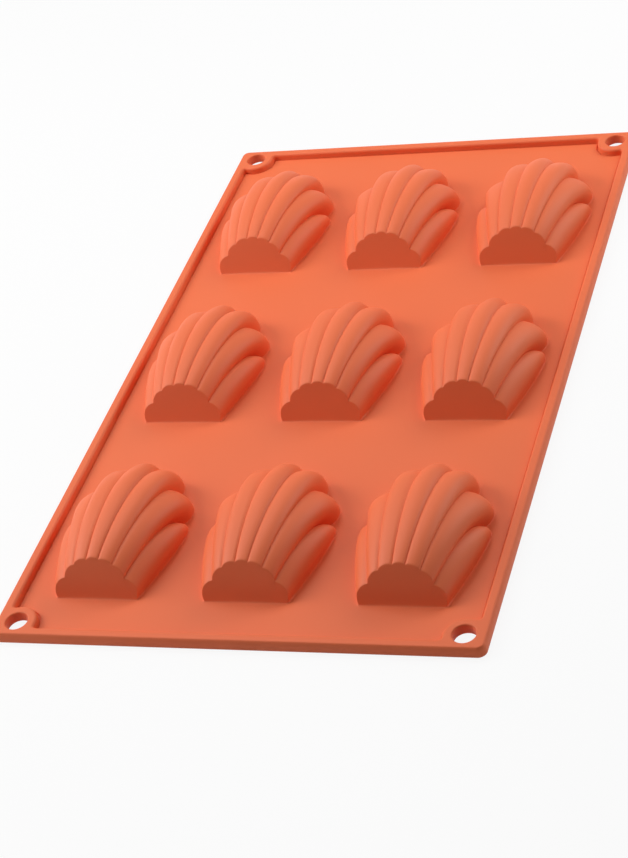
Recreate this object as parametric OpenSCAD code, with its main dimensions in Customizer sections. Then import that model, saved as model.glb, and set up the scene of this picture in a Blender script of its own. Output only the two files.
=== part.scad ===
// Nine-cavity silicone mould for madeleines, lying on its flat baking face.
// X runs across the mould, Y along it, Z up, with the backs of the cavities on top.
// The origin is at the middle of the footprint, on the surface it lies on.

/* [Mould] */
// Length of the whole mould
mould_l = 300; // [280:1:340]
// Width of the whole mould
mould_w = 175; // [160:1:210]
// Clear web between a row of cavities and the short edge beside it
end_margin = 20.8; // [18:0.2:24]
// Thickness of the flat web between the cavities
sheet_t = 1.5; // [1:0.1:2.5]

/* [Rim] */
// Width of the raised band round the edge
rim_w = 4; // [3:0.1:5]
// Height of the raised band
rim_h = 4; // [3:0.1:6]
// Rounding of the band's upper outer edge
rim_round = 1; // [0.3:0.1:1.5]
// Rounding of the band's upper inner edge
rim_soft = 0.6; // [0.3:0.1:1.2]

/* [Corner eyelets] */
// Diameter of the hanging hole in each corner
hole_d = 8; // [6:0.1:9]
// Distance of a hole's middle from the long edge
hole_inset_x = 8; // [7:0.1:9]
// Distance of a hole's middle from the short edge
hole_inset_y = 6.8; // [6.5:0.1:9]
// Radius of the raised pad round the hole
pad_r = 7.4; // [6.5:0.1:9]
// Rounding of the mould's own corners
corner_round = 3; // [2:0.1:5]

/* [Shell cavity] */
// Length of a cavity at the web, outside
cup_l = 68.4; // [60:0.2:72]
// Rise of the two middle grooves at the crown, above the web
crown_h = 16.4; // [14:0.2:19]
// Wall of a cavity
wall = 1.5; // [1:0.1:2.2]
// Width of the flat heel at the web
heel_w = 30; // [26:0.5:34]
// Height of the heel where the two middle grooves leave it
heel_h = 13.2; // [10:0.1:13.6]
// Lean of the heel back from upright, in degrees
heel_lean = 24; // [10:1:35]
// Width across the two outermost ribs' ends
fan_w = 45; // [40:0.5:48]
// Bulge of an inner rib at the heel, as a share of its width
rib_bulge = 0.15; // [0.08:0.01:0.22]
// Bulge of an inner rib at its round tip
rib_tip_bulge = 0.35; // [0.2:0.01:0.42]
// Bulge of an outermost rib at the heel
edge_bulge = 0.24; // [0.12:0.01:0.3]
// Bulge of an outermost rib at its tip
edge_tip_bulge = 0.42; // [0.2:0.01:0.5]

/* [Hidden] */
$fn = 64;
RIBS = 7;
RIB_STEPS = 4;
RUN_STEPS = 12;
COLUMNS = ["left", "middle", "right"];
ROWS = ["front", "centre", "back"];
SILICONE = "#ee7854";
CUPS = [for (row = ROWS, column = COLUMNS) str("cup_", row, "_", column)];
CORNERS = ["eyelet_front_left", "eyelet_front_right", "eyelet_back_left", "eyelet_back_right"];

// The grooves between the ribs leave the heel at these places: share of half the heel's
// width, share of the heel's height. They run from the web to the crown.
HEEL_GROOVES = [[1, 0], [0.757, 0.54], [0.49, 0.865], [0.15, 1]];
// They end on the web round the far end: share of half the fan's width, and the way
// from the cavity's middle to its tip.
FAN_GROOVES = [[1, -0.03], [0.81, 0.06], [0.6, 0.51], [0.22, 0.79]];
// A groove spreads sideways sooner than it runs along: the powers that bend each way
SPREAD = 1.4;
REACH = 1.12;
// Ribs swell towards their tips: the power of that growth along the run
SWELL = 2;
// How far a cutting tool reaches past what it cuts
PAST = 1;

half_l = cup_l / 2;
heel_y = -half_l;
heel_top_y = heel_y + heel_h * tan(heel_lean);
// The middle grooves follow an arc of an ellipse from the heel over the crown to the
// web. It rises to crown_h and runs from the heel's upper edge to the far tip.
start_angle = 180 - asin(heel_h / crown_h);
run_a = (half_l - heel_top_y) / (1 - cos(start_angle));

// The columns share the width that the cavities leave in equal spaces.
column_space = (mould_w - 3 * fan_w) / 4;
column_pitch = fan_w + column_space;
// The rows fill the length between the two end margins.
row_space = (mould_l - 2 * end_margin - 3 * cup_l) / 2;
row_pitch = cup_l + row_space;

function mirrored(half) =
    concat([for (p = half) [-p.x, p.y]], [for (i = [len(half) - 1:-1:0]) half[i]]);
heel_marks = mirrored(HEEL_GROOVES);
fan_marks = mirrored(FAN_GROOVES);

// How far along the run a turn of the crown's ellipse has come, from 0 to 1
function travelled(angle) = (cos(angle) - cos(start_angle)) / (1 - cos(start_angle));
function run_angle(step) = start_angle * (1 - step / RUN_STEPS);
function sooner(t, power) = 1 - pow(1 - t, power);
// Height of a groove over its height at the heel
function rise(angle) = sin(angle) / sin(start_angle);

// A point of groove k at a turn of the crown's ellipse
function groove(k, angle) =
    let (
        t = travelled(angle),
        z0 = heel_marks[k].y * heel_h,
        y0 = heel_y + z0 * tan(heel_lean),
        x0 = heel_marks[k].x * heel_w / 2,
        x1 = fan_marks[k].x * fan_w / 2,
        y1 = fan_marks[k].y * half_l
    )
    [
        x0 + (x1 - x0) * sooner(t, SPREAD),
        y0 + (y1 - y0) * sooner(t, REACH),
        z0 * rise(angle)
    ];

function unit(v) = v / norm(v);
// Direction square to the leaning section that holds all grooves at one turn
function section_normal(angle) =
    let (
        foot = groove(0, angle),
        top = groove(3, angle)
    )
    unit([0, max(top.z - foot.z, 0), -(top.y - foot.y)]);
// Outward direction of the rib between grooves k and k + 1, in its section
function rib_out(k, angle) =
    unit(cross(groove(k + 1, angle) - groove(k, angle), section_normal(angle)));
function groove_out(k, angle) =
    k == 0 ? [-1, 0, 0] :
    k == RIBS ? [1, 0, 0] :
    unit(rib_out(k - 1, angle) + rib_out(k, angle));
// Direction of groove k, from a small turn to either side
TURN = 2;
function groove_way(k, angle) =
    unit(groove(k, max(angle - TURN, 0)) - groove(k, min(angle + TURN, start_angle)));
// How much an inset within the leaning section grows to give the full wall. It stays
// under a limit at the heel, where the section and the groove lie almost in line.
SLANT_LIMIT = 0.4;
function slant(k, angle) =
    let (c = groove_out(k, angle) * groove_way(k, angle))
    1 / sqrt(max(1 - c * c, SLANT_LIMIT));
// The inner heel stands one wall behind the outer one, at the same lean
HEEL_IN = [0, 1 / cos(heel_lean), 0];
function groove_in(k, step, inset) =
    let (angle = run_angle(step))
    groove(k, angle) - inset * slant(k, angle) * groove_out(k, angle)
        + (step == 0 ? inset * HEEL_IN : [0, 0, 0]);

function between(first, last, t) = first + (last - first) * t;
function bulge(k, angle) =
    let (t = pow(max(travelled(angle), 0), SWELL))
    k == 0 || k == RIBS - 1
        ? between(edge_bulge, edge_tip_bulge, t)
        : between(rib_bulge, rib_tip_bulge, t);
function skin_point(i, step, inset) =
    let (
        k = min(floor(i / RIB_STEPS), RIBS - 1),
        v = i / RIB_STEPS - k,
        a = groove_in(k, step, inset),
        b = groove_in(k + 1, step, inset),
        out = unit(cross(b - a, section_normal(run_angle(step))))
    )
    a + (b - a) * v + out * bulge(k, run_angle(step)) * norm(b - a) * 4 * v * (1 - v);

ACROSS = RIBS * RIB_STEPS;
function skin(inset) =
    [for (step = [0:RUN_STEPS], i = [0:ACROSS]) skin_point(i, step, inset)];
function at(i, step) = step * (ACROSS + 1) + i;
SKIN_POINTS = (ACROSS + 1) * (RUN_STEPS + 1);
// The line round the foot of a skin: along one side, round the fan and back
FOOT = concat(
    [for (step = [0:RUN_STEPS]) at(0, step)],
    [for (i = [1:ACROSS]) at(i, RUN_STEPS)],
    [for (step = [RUN_STEPS - 1:-1:0]) at(ACROSS, step)]
);

module shell_cup() {
    points = concat(skin(0), skin(wall));
    outer = [
        for (step = [0:RUN_STEPS - 1], i = [0:ACROSS - 1], half = [0, 1])
            half == 0
                ? [at(i, step), at(i, step + 1), at(i + 1, step)]
                : [at(i + 1, step), at(i, step + 1), at(i + 1, step + 1)]
    ];
    heel = [for (i = [1:ACROSS - 1]) [at(0, 0), at(i, 0), at(i + 1, 0)]];
    inner = [for (f = concat(outer, heel)) [for (n = f) SKIN_POINTS + n]];
    foot = [
        for (i = [0:len(FOOT) - 1], half = [0, 1])
            let (
                a = FOOT[i],
                b = FOOT[(i + 1) % len(FOOT)]
            )
            half == 0 ? [a, SKIN_POINTS + a, b] : [b, SKIN_POINTS + a, SKIN_POINTS + b]
    ];
    turned = [for (f = inner) [f[2], f[1], f[0]]];
    polyhedron(points = points, faces = concat(outer, heel, turned, foot), convexity = 6);
}

// Middle of a cavity, from its column and row
function cup_place(column, row) = [(column - 1) * column_pitch, (row - 1) * row_pitch, 0];

module cup(column, row) {
    color(SILICONE)
    translate(cup_place(column, row) + [0, 0, sheet_t])
    shell_cup();
}

// The mouth of a cavity, cut through the web
module mouth() {
    points = skin(wall);
    polygon([for (n = FOOT) [points[n].x, points[n].y]]);
}

// The raised pad of one corner, at the origin, filling towards +X and +Y: round about
// the hole, and straight from there to both edges
module corner_pad() {
    reach_x = hole_inset_x + pad_r;
    reach_y = hole_inset_y + pad_r;
    intersection() {
        union() {
            square([reach_x, hole_inset_y]);
            square([hole_inset_x, reach_y]);
            translate([hole_inset_x, hole_inset_y]) circle(r = pad_r);
        }
        union() {
            translate([corner_round, corner_round]) circle(r = corner_round);
            translate([corner_round, 0]) square([reach_x, reach_y]);
            translate([0, corner_round]) square([reach_x, reach_y]);
        }
    }
}

module at_corner(side_x, side_y) {
    mirror([side_x > 0 ? 1 : 0, 0, 0])
    mirror([0, side_y > 0 ? 1 : 0, 0])
    translate([-mould_w / 2, -mould_l / 2, 0])
    children();
}

// What a rounding of radius r takes off the corner at the origin of a band's section,
// with the band towards +X and -Y
module rounding(r) {
    difference() {
        translate([-PAST, -r]) square([r + PAST, r + PAST]);
        translate([r, -r]) circle(r = r);
    }
}

// The same along the outer edge of a corner: two straights and the turn between them
module corner_rounding() {
    straight = max(hole_inset_x, hole_inset_y) + pad_r;
    for (swap = [0, 1])
        mirror([swap, -swap, 0])
        translate([corner_round, 0, rim_h])
        rotate([90, 0, 90])
        linear_extrude(straight) rounding(rim_round);
    translate([corner_round, corner_round, rim_h])
    rotate([0, 0, 180])
    rotate_extrude(angle = 90)
    translate([corner_round, 0])
    mirror([1, 0]) rounding(rim_round);
}

module eyelet(side_x, side_y) {
    color(SILICONE)
    at_corner(side_x, side_y)
    difference() {
        linear_extrude(rim_h) corner_pad();
        translate([hole_inset_x, hole_inset_y, -PAST]) cylinder(d = hole_d, h = rim_h + 2 * PAST);
        corner_rounding();
    }
}

// The band in cross-section: its outer face at x = 0, rounded along the top
module rim_profile() {
    difference() {
        square([rim_w, rim_h]);
        translate([0, rim_h]) rounding(rim_round);
        translate([rim_w, rim_h]) mirror([1, 0]) rounding(rim_soft);
    }
}

// A straight length of band along +X, its outer face towards -Y
module rim_bar(length) {
    translate([-length / 2, 0, 0])
    rotate([90, 0, 90])
    linear_extrude(length) rim_profile();
}

module rim_end(side) {
    color(SILICONE)
    rotate([0, 0, side > 0 ? 180 : 0])
    translate([0, -mould_l / 2, 0])
    rim_bar(mould_w - 2 * (hole_inset_x + pad_r));
}

module rim_side(side) {
    color(SILICONE)
    rotate([0, 0, side > 0 ? 90 : -90])
    translate([0, -mould_w / 2, 0])
    rim_bar(mould_l - 2 * (hole_inset_y + pad_r));
}

module sheet() {
    color(SILICONE)
    linear_extrude(sheet_t)
    difference() {
        square([mould_w - 2 * rim_w, mould_l - 2 * rim_w], center = true);
        for (side_x = [-1, 1], side_y = [-1, 1]) at_corner(side_x, side_y) corner_pad();
        for (column = [0:2], row = [0:2]) translate(cup_place(column, row)) mouth();
    }
}

sheet();
rim_end(-1);  // rim_front
rim_end(1);  // rim_back
rim_side(-1);  // rim_left
rim_side(1);  // rim_right
for (i = [0:3]) {
    eyelet(i % 2 == 0 ? -1 : 1, i < 2 ? -1 : 1);
}
for (i = [0:8]) {
    cup(i % 3, floor(i / 3));
}
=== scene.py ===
# %% [markdown]
# A silicone mould for nine madeleines, lying on its baking face with the backs of its
# cavities up. The frame brings the moulding's named regions at their real size and place.
# This file remodels each region finely enough to be looked at closely, gives it its
# finish, and sets the light and the camera. Lengths below are real millimetres and are
# turned to metres in one place. Z is up, and Y runs from the flat heels to the fans.

# %% Load the frame
from math import asin, cos, degrees, pi, radians, sin, tan

import bmesh
import bpy
from mathutils import Matrix, Vector


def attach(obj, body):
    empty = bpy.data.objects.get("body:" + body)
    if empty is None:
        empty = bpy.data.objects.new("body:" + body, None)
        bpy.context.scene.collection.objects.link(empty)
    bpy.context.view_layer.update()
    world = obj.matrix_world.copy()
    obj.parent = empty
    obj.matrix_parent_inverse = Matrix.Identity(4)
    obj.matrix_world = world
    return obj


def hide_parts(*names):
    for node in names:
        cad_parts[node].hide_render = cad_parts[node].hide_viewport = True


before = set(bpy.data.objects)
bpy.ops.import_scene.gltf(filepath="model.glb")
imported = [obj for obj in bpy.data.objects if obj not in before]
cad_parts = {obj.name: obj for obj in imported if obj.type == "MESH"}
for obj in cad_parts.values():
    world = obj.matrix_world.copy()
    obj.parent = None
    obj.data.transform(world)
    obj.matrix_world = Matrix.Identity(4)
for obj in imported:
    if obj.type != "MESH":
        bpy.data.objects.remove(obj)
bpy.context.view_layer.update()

MM = 0.001
print("frame:", len(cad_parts), "nodes")

# %% [markdown]
# Colours are written as the hex values that one would pick from a picture. Cycles works
# in linear light, so each one goes through the sRGB curve once, here. The other helper
# adds a shader node with its settings and links in one call.


# %% Colour and node helpers
def linear(hex_colour):
    parts = [int(hex_colour[i:i + 2], 16) / 255 for i in (1, 3, 5)]
    curve = [c / 12.92 if c <= 0.04045 else ((c + 0.055) / 1.055) ** 2.4 for c in parts]
    return (*curve, 1.0)


def add_node(tree, kind, links=(), **settings):
    """Adds a node; links are (its input, another node's output)."""
    node = tree.nodes.new(kind)
    for name, value in settings.items():
        if hasattr(node, name):
            setattr(node, name, value)
        else:
            node.inputs[name.replace("_", " ")].default_value = value
    for socket, source in links:
        tree.links.new(source, node.inputs[socket])
    return node


print("a middle grey is", round(linear("#808080")[0], 3), "in linear light")

# %% [markdown]
# Platinum-cured silicone comes out of a polished steel tool. It is a soft satin: the eye
# sees a broad, weak highlight and a very fine unevenness, and light that bounces between
# the ribs deepens the colour. The shader is a dielectric of middle roughness, and its bump
# is a fine noise under a tenth of a millimetre deep.

# %% Moulded silicone
SILICONE_HEX = "#ee7345"
SILICONE_DEEP_HEX = "#ea6f41"
CLOUDS_PER_METRE = 25.0
GRAINS_PER_METRE = 1500.0
GRAIN_DEPTH = 0.05
GRAIN_STRENGTH = 0.08
ROUGHNESS = 0.55
REFRACTION = 1.41


def moulded_silicone():
    material = bpy.data.materials.new("moulded_silicone")
    material.use_nodes = True
    tree = material.node_tree
    shader = tree.nodes["Principled BSDF"]
    place = add_node(tree, "ShaderNodeTexCoord").outputs["Object"]
    cloud = add_node(tree, "ShaderNodeTexNoise", [("Vector", place)], Detail=3.0)
    cloud.inputs["Scale"].default_value = CLOUDS_PER_METRE
    tint = add_node(tree, "ShaderNodeMix", [("Factor", cloud.outputs["Fac"])], data_type="RGBA")
    tint.inputs["A"].default_value = linear(SILICONE_DEEP_HEX)
    tint.inputs["B"].default_value = linear(SILICONE_HEX)
    grain = add_node(tree, "ShaderNodeTexNoise", [("Vector", place)], Detail=2.0)
    grain.inputs["Scale"].default_value = GRAINS_PER_METRE
    bump = add_node(tree, "ShaderNodeBump", [("Height", grain.outputs["Fac"])])
    bump.inputs["Strength"].default_value = GRAIN_STRENGTH
    bump.inputs["Distance"].default_value = GRAIN_DEPTH * MM
    tree.links.new(tint.outputs["Result"], shader.inputs["Base Color"])
    tree.links.new(bump.outputs["Normal"], shader.inputs["Normal"])
    shader.inputs["Roughness"].default_value = ROUGHNESS
    shader.inputs["IOR"].default_value = REFRACTION
    return material


silicone = moulded_silicone()
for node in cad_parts.values():
    node.data.materials.clear()
    node.data.materials.append(silicone)
print("silicone on", len(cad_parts), "nodes")

# %% [markdown]
# One call turns a finished bmesh into a piece of the moulding: it scales to metres, turns
# the faces outward, gives the silicone, and hides the regions of the frame that it stands for.
# Edges sharper than a limit keep a hard shading line, and the rest shade smoothly. The flat
# web has a low limit, so its long faces stay even.

# %% From a bmesh to a piece
HARD_EDGE = radians(50)
FLAT_EDGE = radians(5)


def make_piece(name, bm, *nodes, hard=HARD_EDGE):
    bmesh.ops.recalc_face_normals(bm, faces=bm.faces)
    for face in bm.faces:
        face.smooth = True
    for edge in bm.edges:
        if len(edge.link_faces) == 2 and edge.calc_face_angle() > hard:
            edge.smooth = False
    bmesh.ops.scale(bm, vec=(MM, MM, MM), verts=bm.verts)
    mesh = bpy.data.meshes.new(name)
    bm.to_mesh(mesh)
    bm.free()
    mesh.materials.append(silicone)
    piece = bpy.data.objects.new(name, mesh)
    bpy.context.collection.objects.link(piece)
    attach(piece, "root")
    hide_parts(*nodes)
    print(name, "has", len(mesh.polygons), "faces")


# %% [markdown]
# A shell cavity is a fan of seven ribs. On the real mould each rib is a shallow arc sprung
# between two sharp grooves, and all the grooves leave the flat, leaning heel and run over
# the crown to a scalloped edge. The part's source has the same sizes, with facets. The
# surface is worked out here as a function of two numbers, the place across the ribs and
# the turn along the crown, so a grid of any fineness can be laid on it.
#
# The groove lists run from an outer edge to the middle. They say where each groove starts
# on the heel and ends on the web, as shares of half the width and of the height or half
# the length. SPREAD and REACH say how soon a groove gains its width and its length on the
# way: at 1 it would gain them evenly.

# %% Sizes of a shell cavity
WEB = 1.5
WALL = 1.5
CUP_LONG = 68.4
CROWN_HIGH = 16.4
HEEL_WIDE = 30.0
HEEL_HIGH = 13.2
HEEL_LEAN = radians(24)
FAN_WIDE = 45.0
RIBS = 7
RIB_BULGE = 0.15
RIB_TIP_BULGE = 0.35
EDGE_BULGE = 0.24
EDGE_TIP_BULGE = 0.42
TIP_POWER = 2.0
HEEL_GROOVES = [(1, 0), (0.757, 0.54), (0.49, 0.865), (0.15, 1)]
FAN_GROOVES = [(1, -0.03), (0.81, 0.06), (0.6, 0.51), (0.22, 0.79)]
SPREAD = 1.4
REACH = 1.12
SLANT_LIMIT = 0.4

HALF = CUP_LONG / 2
HEEL_TOP = -HALF + HEEL_HIGH * tan(HEEL_LEAN)
START = pi - asin(HEEL_HIGH / CROWN_HIGH)
print("the crown turns through", round(degrees(START)), "degrees")


def mirrored(marks):
    return [(-x, other) for x, other in marks] + marks[::-1]


HEEL_MARKS = mirrored(HEEL_GROOVES)
FAN_MARKS = mirrored(FAN_GROOVES)

# %% [markdown]
# Groove by groove, then rib by rib. All grooves at one turn of the crown lie in one slanting
# section. The wall of the real mould is even, so the inner skin is the same surface moved
# inwards by the wall. Where a section isn't square to a groove's path, the step inwards is
# longer, up to a limit.


# %% Grooves and ribs
def sooner(t, power):
    """The share of the way that is gained after a share t of the path."""
    return 1 - max(1 - t, 0) ** power


def travelled(turn):
    """The share of the crown's run that lies behind this turn, from the heel to the web."""
    return (cos(turn) - cos(START)) / (1 - cos(START))


def groove(k, turn):
    t = travelled(turn)
    high = HEEL_MARKS[k][1] * HEEL_HIGH
    x0 = HEEL_MARKS[k][0] * HEEL_WIDE / 2
    y0 = -HALF + high * tan(HEEL_LEAN)
    x1 = FAN_MARKS[k][0] * FAN_WIDE / 2
    y1 = FAN_MARKS[k][1] * HALF
    return Vector((
        x0 + (x1 - x0) * sooner(t, SPREAD),
        y0 + (y1 - y0) * sooner(t, REACH),
        high * sin(turn) / sin(START),
    ))


def section_normal(turn):
    """The way that the section at this turn faces: along the mould, and down as it slants."""
    rise = groove(RIBS // 2, turn) - groove(0, turn)
    return Vector((0, max(rise.z, 0), -rise.y)).normalized()


def rib_out(k, turn):
    return (groove(k + 1, turn) - groove(k, turn)).cross(section_normal(turn)).normalized()


def groove_out(k, turn):
    if k == 0:
        return Vector((-1, 0, 0))
    if k == RIBS:
        return Vector((1, 0, 0))
    return (rib_out(k - 1, turn) + rib_out(k, turn)).normalized()


SMALL_TURN = radians(2)


def inset_groove(k, turn, inset):
    before = groove(k, min(turn + SMALL_TURN, START))
    after = groove(k, max(turn - SMALL_TURN, 0))
    lean = groove_out(k, turn).dot((after - before).normalized())
    slant = max(1 - lean * lean, SLANT_LIMIT) ** -0.5
    return groove(k, turn) - groove_out(k, turn) * inset * slant


def bulge(k, turn):
    """A rib is flattest at the heel and swells to a round tip at the web."""
    first, last = (EDGE_BULGE, EDGE_TIP_BULGE) if k in (0, RIBS - 1) else (RIB_BULGE, RIB_TIP_BULGE)
    return first + (last - first) * max(travelled(turn), 0) ** TIP_POWER


GROOVE_CUT = 0.4
CUT_SHARE = 1 / 12


def cut(u, inset):
    """The depth of the sharp line that the mould tool leaves at the bottom of a groove."""
    if inset or not 0.5 < u < RIBS - 0.5:
        return 0
    return GROOVE_CUT * max(1 - abs(u - round(u)) / CUT_SHARE, 0)


def skin(u, turn, inset=0.0):
    """The cavity's skin at u ribs from the left, at a turn of the crown."""
    k = min(int(u), RIBS - 1)
    v = u - k
    a = inset_groove(k, turn, inset)
    b = inset_groove(k + 1, turn, inset)
    out = (b - a).cross(section_normal(turn)).normalized()
    arch = bulge(k, turn) * (b - a).length * 4 * v * (1 - v)
    return a.lerp(b, v) + out * (arch - cut(u, inset))


MIDDLE = RIBS / 2
print("crest of the middle rib:", round(skin(MIDDLE, radians(90)).z, 2), "mm above the web")

# %% [markdown]
# The heel is a flat plane that leans back. The outer skin starts on it. The inner skin
# starts where it meets the same plane moved back by the wall, and a few halvings of the
# turn find that place.


# %% Where the skin leaves the heel
HALVINGS = 24


def behind_heel(point, inset):
    return point.y - (-HALF + point.z * tan(HEEL_LEAN) + inset / cos(HEEL_LEAN))


def first_turn(u, inset):
    if inset == 0:
        return START
    low, high = 0.0, START
    for _ in range(HALVINGS):
        middle = (low + high) / 2
        if behind_heel(skin(u, middle, inset), inset) > 0:
            low = middle
        else:
            high = middle
    return high


print("the inner skin leaves the heel at", round(degrees(first_turn(MIDDLE, WALL))), "degrees")

# %% [markdown]
# The skin is laid as a grid. Its first rows are the heel, from the web up to the edge, and
# the rest run over the crown. Rows crowd together next to the edge and the web, where the
# moulding tool's edges are eased and smoothing will round them.

# %% A skin as a grid
STEPS_PER_RIB = 12
ACROSS = RIBS * STEPS_PER_RIB
MERGE = 0.001
HEEL_ROWS = [0, 0.035, 0.09, 0.2, 0.36, 0.54, 0.72, 0.86, 0.94, 0.975, 1]
CROWN_ROWS = [0.0035, 0.009] + [0.02 + 0.98 * (k / 60) for k in range(61)]


def skin_grid(bm, inset):
    """Lays the skin on a grid; returns the vertices at the heel's edge, to be softened."""
    edge = [first_turn(RIBS * i / ACROSS, inset) for i in range(ACROSS + 1)]
    foot = skin(RIBS, edge[-1], inset)
    rows = len(HEEL_ROWS) + len(CROWN_ROWS) - 1
    made = bmesh.ops.create_grid(bm, x_segments=ACROSS, y_segments=rows, size=0.5)["verts"]
    crease = []
    for vert in made:
        i = round((vert.co.x + 0.5) * ACROSS)
        j = round((vert.co.y + 0.5) * rows) - len(HEEL_ROWS) + 1
        u = RIBS * i / ACROSS
        if j > 0:
            vert.co = skin(u, edge[i] * (1 - CROWN_ROWS[j - 1]), inset)
        else:
            low = Vector((foot.x * (2 * i / ACROSS - 1), foot.y, 0))
            vert.co = low.lerp(skin(u, edge[i], inset), HEEL_ROWS[j - 1])
        if abs(j) < 2 and 0 < i < ACROSS:
            crease.append(vert)
    bmesh.ops.remove_doubles(bm, verts=made, dist=MERGE)
    return [vert for vert in crease if vert.is_valid]


print("a skin's grid is", ACROSS, "by", len(HEEL_ROWS) + len(CROWN_ROWS) - 1, "faces")

# %% [markdown]
# Round its foot the skin turns into the web in a small fillet. Rings of faces are extruded
# from the open edge and pushed outwards, each along a direction that is averaged over its
# neighbours, so that the rings don't cross in the notches between two ribs.


# %% Rings round an open edge
SIDE_SHARE = 0.2
RING_PASSES = 10


def open_loop(bm):
    """The vertices of the one open edge, in order, from the left corner of the heel."""
    edges = [edge for edge in bm.edges if edge.is_boundary]
    verts = [v for edge in edges for v in edge.verts]
    start = min(verts, key=lambda v: v.co.x * SIDE_SHARE + v.co.y)
    loop = [start]
    while True:
        ways = [e.other_vert(loop[-1]) for e in loop[-1].link_edges if e.is_boundary]
        ways = [v for v in ways if len(loop) < 2 or v != loop[-2]]
        step = max(ways, key=lambda v: v.co.x) if len(loop) == 1 else ways[0]
        if step == start:
            return loop
        loop.append(step)


def outward(loop, passes=RING_PASSES):
    """The level direction away from the loop at each vertex, averaged over neighbours."""
    count = len(loop)
    ways = []
    for i in range(count):
        along = loop[(i + 1) % count].co - loop[i - 1].co
        ways.append(Vector((along.y, -along.x, 0)).normalized())
    for _ in range(passes):
        ways = [
            (ways[i - 1] + 2 * ways[i] + ways[(i + 1) % count]).normalized()
            for i in range(count)
        ]
    return ways


def open_edges(loop):
    """The edges along a ring of vertices that have a free side."""
    ring = set(loop)
    free = [(e, v) for v in loop for e in v.link_edges if len(e.link_faces) < 2]
    found = [e for e, v in free if e.other_vert(v) in ring]
    return list(dict.fromkeys(found))


def add_ring(bm, loop, moves):
    """Extrudes an open edge and moves each new vertex; returns the new ring in order."""
    made = bmesh.ops.extrude_edge_only(bm, edges=open_edges(loop))["geom"]
    fresh = {v for v in made if isinstance(v, bmesh.types.BMVert)}
    ring = []
    for vert, move in zip(loop, moves):
        new = next(e.other_vert(vert) for e in vert.link_edges if e.other_vert(vert) in fresh)
        new.co = vert.co + move
        ring.append(new)
    return ring


print("helpers for the rings are ready")

# %% [markdown]
# The whole cup is an outer skin with its fillet and a flat ring that ends on the web, an
# inner skin with its mouth through the web and an eased lip on the baking face, and a
# hidden wall that closes the two. It is made once and copied to nine places.

# %% The two skins of a cup
FILLET_STEPS = [0.25, 0.3, 0.35]
FLAT_STEP = 0.4
LIP_DROPS = [0.5, 0.6, 0.4]
LIP_STEPS = [0.35, 0.5]
FOOT_HIGH = 0.6
CREASE_PASSES = 1
FOOT_PASSES = 3
UP = Vector((0, 0, 1))


def soften(bm, verts, passes):
    for _ in range(passes):
        bmesh.ops.smooth_vert(bm, verts=list(dict.fromkeys(verts)), factor=0.5,
                              use_axis_x=True, use_axis_y=True, use_axis_z=True)


def outer_skin(bm):
    """The back of the cavity down to the web; returns the ring that it ends in."""
    soften(bm, skin_grid(bm, 0), CREASE_PASSES)
    ring = open_loop(bm)
    ways = outward(ring)
    soft = [v for v in bm.verts if v.co.z < FOOT_HIGH]
    for step in FILLET_STEPS:
        soft += ring
        ring = add_ring(bm, ring, [way * step for way in ways])
    edge = add_ring(bm, ring, [way * FLAT_STEP for way in ways])
    soften(bm, soft, FOOT_PASSES)
    return edge


def inner_skin(bm):
    """The inside of the cavity down to the baking face; returns the ring it ends in."""
    skin_grid(bm, WALL)
    ring = open_loop(bm)
    ways = outward(ring)
    soft = []
    for drop in LIP_DROPS:
        ring = add_ring(bm, ring, [-UP * drop for _ in ring])
        soft += ring
    for step in LIP_STEPS:
        ring = add_ring(bm, ring, [way * step for way in ways])
    soften(bm, soft, FOOT_PASSES)
    return ring


shell = bmesh.new()
seam_top = [v.co.copy() for v in outer_skin(shell)]
lining = bmesh.new()
seam_low = [v.co.copy() for v in inner_skin(lining)]
print("seam rings have", len(seam_top), "and", len(seam_low), "corners")

# %% [markdown]
# The two skins become one closed body: the lining is added to the shell's mesh, and the
# two open rings are bridged. The seams keep a hard shading line, so the flat rings shade as
# flat as the web. The same body, moved, stands in each of the nine places.

# %% Nine cups
COLUMNS = {"left": -1, "middle": 0, "right": 1}
ROWS = {"front": -1, "centre": 0, "back": 1}
COLUMN_PITCH = 55.0
ROW_PITCH = 95.0

lining_mesh = bpy.data.meshes.new("lining")
lining.to_mesh(lining_mesh)
lining.free()
shell.from_mesh(lining_mesh)
bpy.data.meshes.remove(lining_mesh)
seam = [edge for edge in shell.edges if edge.is_boundary]
for edge in seam:
    edge.smooth = False
bmesh.ops.bridge_loops(shell, edges=seam)
print("open edges left in a cup:", sum(edge.is_boundary for edge in shell.edges))

places = {
    f"{row}_{column}": Vector((across * COLUMN_PITCH, along * ROW_PITCH, WEB))
    for row, along in ROWS.items()
    for column, across in COLUMNS.items()
}
for name, place in places.items():
    body = shell.copy()
    bmesh.ops.translate(body, vec=place, verts=body.verts)
    make_piece("shell_" + name, body, "cup_" + name)
shell.free()

# %% [markdown]
# A raised band runs round the mould and widens into a round pad at each corner, with a
# hole to hang it by. On the real mould this is one smooth form with eased edges, so it is
# modelled as one ring of profiles: a line round its inner edge, one round its outer edge,
# and one round each hole. First come the lines, drawn flat.

# %% Band and pad lines
WIDE = 175.0
LONG = 300.0
BAND_WIDE = 4.0
BAND_HIGH = 4.0
CORNER_ROUND = 3.0
HOLE_RADIUS = 4.0
HOLE_IN_X = 8.0
HOLE_IN_Y = 6.8
PAD_RADIUS = 7.4
CLOSE_STEP = 0.45
CLOSE_TURN = 2.5 * CLOSE_STEP
LINE_STEPS = 12
PAD_STEPS = 40
ROUND_STEPS = 14
HOLE_STEPS = 56
EASE_PASSES = 16
CORNERS = [(-1, -1), (1, -1), (1, 1), (-1, 1)]


def arc(middle, radius, start, end, steps):
    turns = [radians(start + (end - start) * k / steps) for k in range(steps + 1)]
    x, y = middle
    return [Vector((x + radius * cos(t), y + radius * sin(t), 0)) for t in turns]


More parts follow.
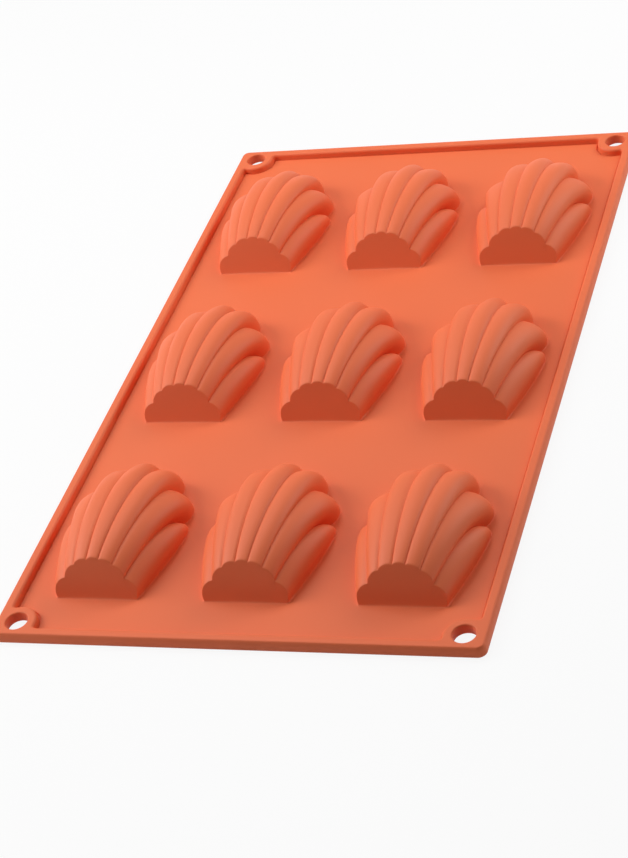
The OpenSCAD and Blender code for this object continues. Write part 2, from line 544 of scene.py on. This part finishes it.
def straight(start, end):
    """Points of a line, close together near both ends, where the line meets a pad."""
    long = (end - start).length
    near = [CLOSE_STEP * k for k in range(1, LINE_STEPS)]
    far = [long - mark for mark in near[::-1]]
    marks = near + [long * k / LINE_STEPS for k in range(1, LINE_STEPS)] + far
    return [start.lerp(end, mark / long) for mark in marks]


def in_corner(points, side_x, side_y):
    """Moves a line drawn for the left front corner to another corner, in running order."""
    moved = [Vector((side_x * (WIDE / 2 - p.x), side_y * (LONG / 2 - p.y), 0)) for p in points]
    return moved if side_x != side_y else moved[::-1]


def round_the_mould(corner_line):
    """Joins the four corners' lines with straights; the points run counterclockwise."""
    parts = [in_corner(corner_line, *side) for side in CORNERS]
    loop = []
    for k, part in enumerate(parts):
        loop += part + straight(part[-1], parts[(k + 1) % 4][0])
    return loop


def eased(line, passes):
    """Rounds a line's sharp turns, where its points lie close together."""
    for _ in range(passes):
        around = zip([line[-1]] + line[:-1], line, line[1:] + [line[0]])
        line = [
            (before + 2 * here + after) / 4 if (after - before).length < CLOSE_TURN else here
            for before, here, after in around
        ]
    return line


pad_start = degrees(asin((BAND_WIDE - HOLE_IN_Y) / PAD_RADIUS))
pad_end = 90 + degrees(asin((HOLE_IN_X - BAND_WIDE) / PAD_RADIUS))
pad_line = arc((HOLE_IN_X, HOLE_IN_Y), PAD_RADIUS, pad_start, pad_end, PAD_STEPS)
inner_line = eased(round_the_mould(pad_line), EASE_PASSES)
corner_line = arc((CORNER_ROUND, CORNER_ROUND), CORNER_ROUND, 270, 180, ROUND_STEPS)
outer_line = round_the_mould(corner_line)
hole_line = arc((HOLE_IN_X, HOLE_IN_Y), HOLE_RADIUS, 0, 360, HOLE_STEPS)[:-1]
hole_lines = [in_corner(hole_line, *side) for side in CORNERS]
print("lines of", len(inner_line), len(outer_line), "and", len(hole_line), "points")

# %% [markdown]
# Each line then carries a profile, given as steps of (outwards from the line, height). A
# quarter of an ellipse eases an upper edge, and a short flat step keeps its shading off the
# top. A lower edge has a small round with one point halfway. A fine channel runs along the
# band's foot, and the photograph shows it as a dark line. Its floor lies between two shares
# of its width.


# %% Profiles along a line
def convex(inwards, down, steps=6):
    """From a wall up to a flat top: the point where it starts is (0, top - down)."""
    turns = [pi / 2 * k / steps for k in range(1, steps + 1)]
    return [(-inwards * (1 - cos(t)), -down * (1 - sin(t))) for t in turns]


CHANNEL_WIDE = 0.8
CHANNEL_DEEP = 0.6
CHANNEL_FLOOR = (0.7, 0.2)
INNER_ROUND = 1.1
OUTER_ROUND = 1.0
OUTER_FALL = 2.4
LOW_ROUND = 0.3
HOLE_ROUND = 0.5
HALFWAY = 0.3
EDGE_STEPS = 8
FLAT = 0.3

reach = CHANNEL_WIDE + FLAT
inner_profile = [(reach, 0), (reach, WEB), (CHANNEL_WIDE, WEB)]
inner_profile += [(CHANNEL_WIDE * share, WEB - CHANNEL_DEEP) for share in CHANNEL_FLOOR]
inner_profile += [(0, WEB - CHANNEL_DEEP / 2), (0, BAND_HIGH - INNER_ROUND)]
inner_profile += [(out, BAND_HIGH + high) for out, high in convex(INNER_ROUND, INNER_ROUND)]
inner_profile += [(-INNER_ROUND - FLAT, BAND_HIGH)]


def edge_profile(inwards, down, low_round):
    halfway = low_round * HALFWAY
    steps = [(-low_round, 0), (-halfway, halfway), (0, low_round), (0, BAND_HIGH - down)]
    steps += [(out, BAND_HIGH + high) for out, high in convex(inwards, down, EDGE_STEPS)]
    return steps + [(-inwards - FLAT, BAND_HIGH)]


def add_loop(bm, points):
    verts = [bm.verts.new(point) for point in points]
    for k in range(len(verts)):
        bm.edges.new((verts[k - 1], verts[k]))
    return verts


def sweep(bm, line, profile, side, passes):
    """Carries a profile along a closed line; side is 1 or -1 for its outward hand."""
    first = add_loop(bm, [point + UP * profile[0][1] for point in line])
    ways = [way * side for way in outward(first, passes)]
    for vert, way in zip(first, ways):
        vert.co += way * profile[0][0]
    ring = first
    for (out, high), (next_out, next_high) in zip(profile, profile[1:]):
        moves = [way * (next_out - out) + UP * (next_high - high) for way in ways]
        ring = add_ring(bm, ring, moves)
    return first, ring


def flat_fill(bm, loops):
    edges = [edge for loop in loops for edge in open_edges(loop)]
    bmesh.ops.triangle_fill(bm, edges=edges, use_beauty=True)


print("inner profile of", len(inner_profile), "steps")

# %% Band with its corner pads
INNER_PASSES = 12

outer_profile = edge_profile(OUTER_ROUND, OUTER_FALL, LOW_ROUND)
hole_profile = edge_profile(HOLE_ROUND, HOLE_ROUND, LOW_ROUND)
band = bmesh.new()
sweeps = [sweep(band, inner_line, inner_profile, -1, INNER_PASSES)]
sweeps += [sweep(band, outer_line, outer_profile, 1, 0)]
sweeps += [sweep(band, line, hole_profile, 1, 0) for line in hole_lines]
web_line = [Vector((v.co.x, v.co.y, 0)) for v in sweeps[0][0]]
flat_fill(band, [low for low, top in sweeps])
flat_fill(band, [top for low, top in sweeps])
print("open edges left in the band:", sum(edge.is_boundary for edge in band.edges))
rims = ["rim_front", "rim_back", "rim_left", "rim_right"]
eyelets = [f"eyelet_{end}_{hand}" for end in ("front", "back") for hand in ("left", "right")]
make_piece("band_with_pads", band, *rims, *eyelets)

# %% [markdown]
# The web is a flat sheet between the band and the cups. Its outline is the line that the
# band's foot ends in, and its nine mouths follow the rings that the cups end in, corner
# for corner, so no seam shows.


# %% Web
def flat_with_holes(bm, ring, high):
    loops = [add_loop(bm, [point + UP * high for point in web_line])]
    for place in places.values():
        loops.append(add_loop(bm, [point + Vector((place.x, place.y, WEB)) for point in ring]))
    flat_fill(bm, loops)
    return loops


web = bmesh.new()
top_loops = flat_with_holes(web, seam_top, WEB)
low_loops = flat_with_holes(web, seam_low, 0)
for top_loop, low_loop in zip(top_loops, low_loops):
    bmesh.ops.bridge_loops(web, edges=open_edges(top_loop) + open_edges(low_loop))
print("open edges left in the web:", sum(edge.is_boundary for edge in web.edges))
make_piece("web", web, "sheet", hard=FLAT_EDGE)

# %% [markdown]
# The floor is plain paper that reads as white, as the photograph's does. Light Path tells
# apart the rays that look at it, straight or in a reflection. Those see mostly a glow of
# strength 1, so the lamps can stay low. A share of the paper itself is left in what they
# see, and that share keeps the mould's shadow. The paper lies a hair under the mould.

# %% White for the rays that look
WHITE = (1.0, 1.0, 1.0, 1.0)


def looking_rays(tree, share):
    """The given share for camera, glossy and transmission rays, and 0 for light that bounces."""
    rays = add_node(tree, "ShaderNodeLightPath").outputs
    seen = rays["Is Camera Ray"]
    for kind in ("Is Glossy Ray", "Is Transmission Ray"):
        either = [(0, seen), (1, rays[kind])]
        seen = add_node(tree, "ShaderNodeMath", either, operation="MAXIMUM").outputs[0]
    scaled = add_node(tree, "ShaderNodeMath", [(0, seen)], operation="MULTIPLY")
    scaled.inputs[1].default_value = share
    return scaled.outputs[0]


print("looking rays are told apart by Light Path")

# %% Floor
FLOOR_SIZE = 6.0
FLOOR_DROP = 0.05
GLOW_SHARE = 0.9
PAPER = (0.8, 0.8, 0.8, 1.0)


def white_floor():
    bpy.ops.mesh.primitive_plane_add(size=FLOOR_SIZE, location=(0, 0, -FLOOR_DROP * MM))
    floor = bpy.context.object
    floor.name = "floor"
    material = bpy.data.materials.new("white_paper")
    material.use_nodes = True
    tree = material.node_tree
    paper = tree.nodes["Principled BSDF"]
    paper.inputs["Base Color"].default_value = PAPER
    glow = add_node(tree, "ShaderNodeEmission", Color=WHITE, Strength=1.0)
    links = [(0, looking_rays(tree, GLOW_SHARE)), (1, paper.outputs[0]), (2, glow.outputs[0])]
    mix = add_node(tree, "ShaderNodeMixShader", links)
    tree.links.new(mix.outputs[0], tree.nodes["Material Output"].inputs["Surface"])
    floor.data.materials.append(material)


white_floor()
print("floor:", FLOOR_SIZE, "m square,", FLOOR_DROP, "mm under the mould")

# %% [markdown]
# The surround lights the mould only dimly, and the rays that look see it white. The lamps
# are soft boxes: a near one at the left, three small ones close round the mould and a far
# one low at the right. Their places and strengths were found by rendering the mould under
# one lamp at a time and weighing the lamps until the sum matched the photograph. The heels
# face away from all but the weakest of them, so they fall dark. Together they light a level
# face at about strength 1, at which a colour renders as it is written.

# %% Surround
DIM = 0.05

world = bpy.data.worlds.new("dim_surround")
bpy.context.scene.world = world
world.use_nodes = True
tree = world.node_tree
dim = tree.nodes["Background"]
dim.inputs["Color"].default_value = WHITE
dim.inputs["Strength"].default_value = DIM
white = add_node(tree, "ShaderNodeBackground", Color=WHITE, Strength=1.0)
links = [(0, looking_rays(tree, 1.0)), (1, dim.outputs[0]), (2, white.outputs[0])]
mix = add_node(tree, "ShaderNodeMixShader", links)
tree.links.new(mix.outputs[0], tree.nodes["World Output"].inputs["Surface"])
print("surround of strength", DIM)

# %% Lamps
LAMPS = {
    "near_left": {"around": 180, "above": 35, "away": 1.0, "size": 0.5, "watts": 5.9},
    "back_right": {"around": 45, "above": 35, "away": 0.6, "size": 0.3, "watts": 1.35},
    "close_back": {"around": 135, "above": 65, "away": 0.6, "size": 0.3, "watts": 1.25},
    "low_front_left": {"around": 225, "above": 20, "away": 0.6, "size": 0.3, "watts": 0.35},
    "low_right": {"around": 0, "above": 12, "away": 2.0, "size": 0.7, "watts": 3.5},
}


def soft_box(name, around, above, away, size, watts):
    """A square lamp aimed at the mould; around is 0 at the right and 90 at the back."""
    data = bpy.data.lights.new(name, "AREA")
    data.size = size
    data.energy = watts
    lamp = bpy.data.objects.new(name, data)
    bpy.context.collection.objects.link(lamp)
    level = away * cos(radians(above))
    high = away * sin(radians(above))
    lamp.location = (level * cos(radians(around)), level * sin(radians(around)), high)
    lamp.rotation_euler = (-lamp.location).to_track_quat("-Z", "Y").to_euler()


for name, place in LAMPS.items():
    soft_box(name, **place)
print("lamps:", ", ".join(LAMPS))

# %% [markdown]
# The camera's place, heading, tilt and roll were solved from the photograph: the mould's
# outer edges, its four holes and the lower corners of the nine heels.

# %% Camera
CAMERA_PLACE = Vector((275.3, -607.2, 472.0)) * MM
HEADING = radians(25.95)
DIP = radians(36.65)
ROLL = radians(-16.54)
FOCAL_PIXELS = 2165.0
PHOTO_TALL = 858

camera_data = bpy.data.cameras.new("camera")
camera_data.lens = FOCAL_PIXELS * camera_data.sensor_width / PHOTO_TALL
camera_data.clip_start = 0.01
camera = bpy.data.objects.new("camera", camera_data)
bpy.context.collection.objects.link(camera)
turn = (
    Matrix.Rotation(HEADING, 4, "Z")
    @ Matrix.Rotation(radians(90) - DIP, 4, "X")
    @ Matrix.Rotation(ROLL, 4, "Z")
)
camera.matrix_world = Matrix.Translation(CAMERA_PLACE) @ turn
bpy.context.scene.camera = camera
bpy.context.scene.view_settings.view_transform = "Standard"
print("camera lens:", round(camera_data.lens, 1), "mm")
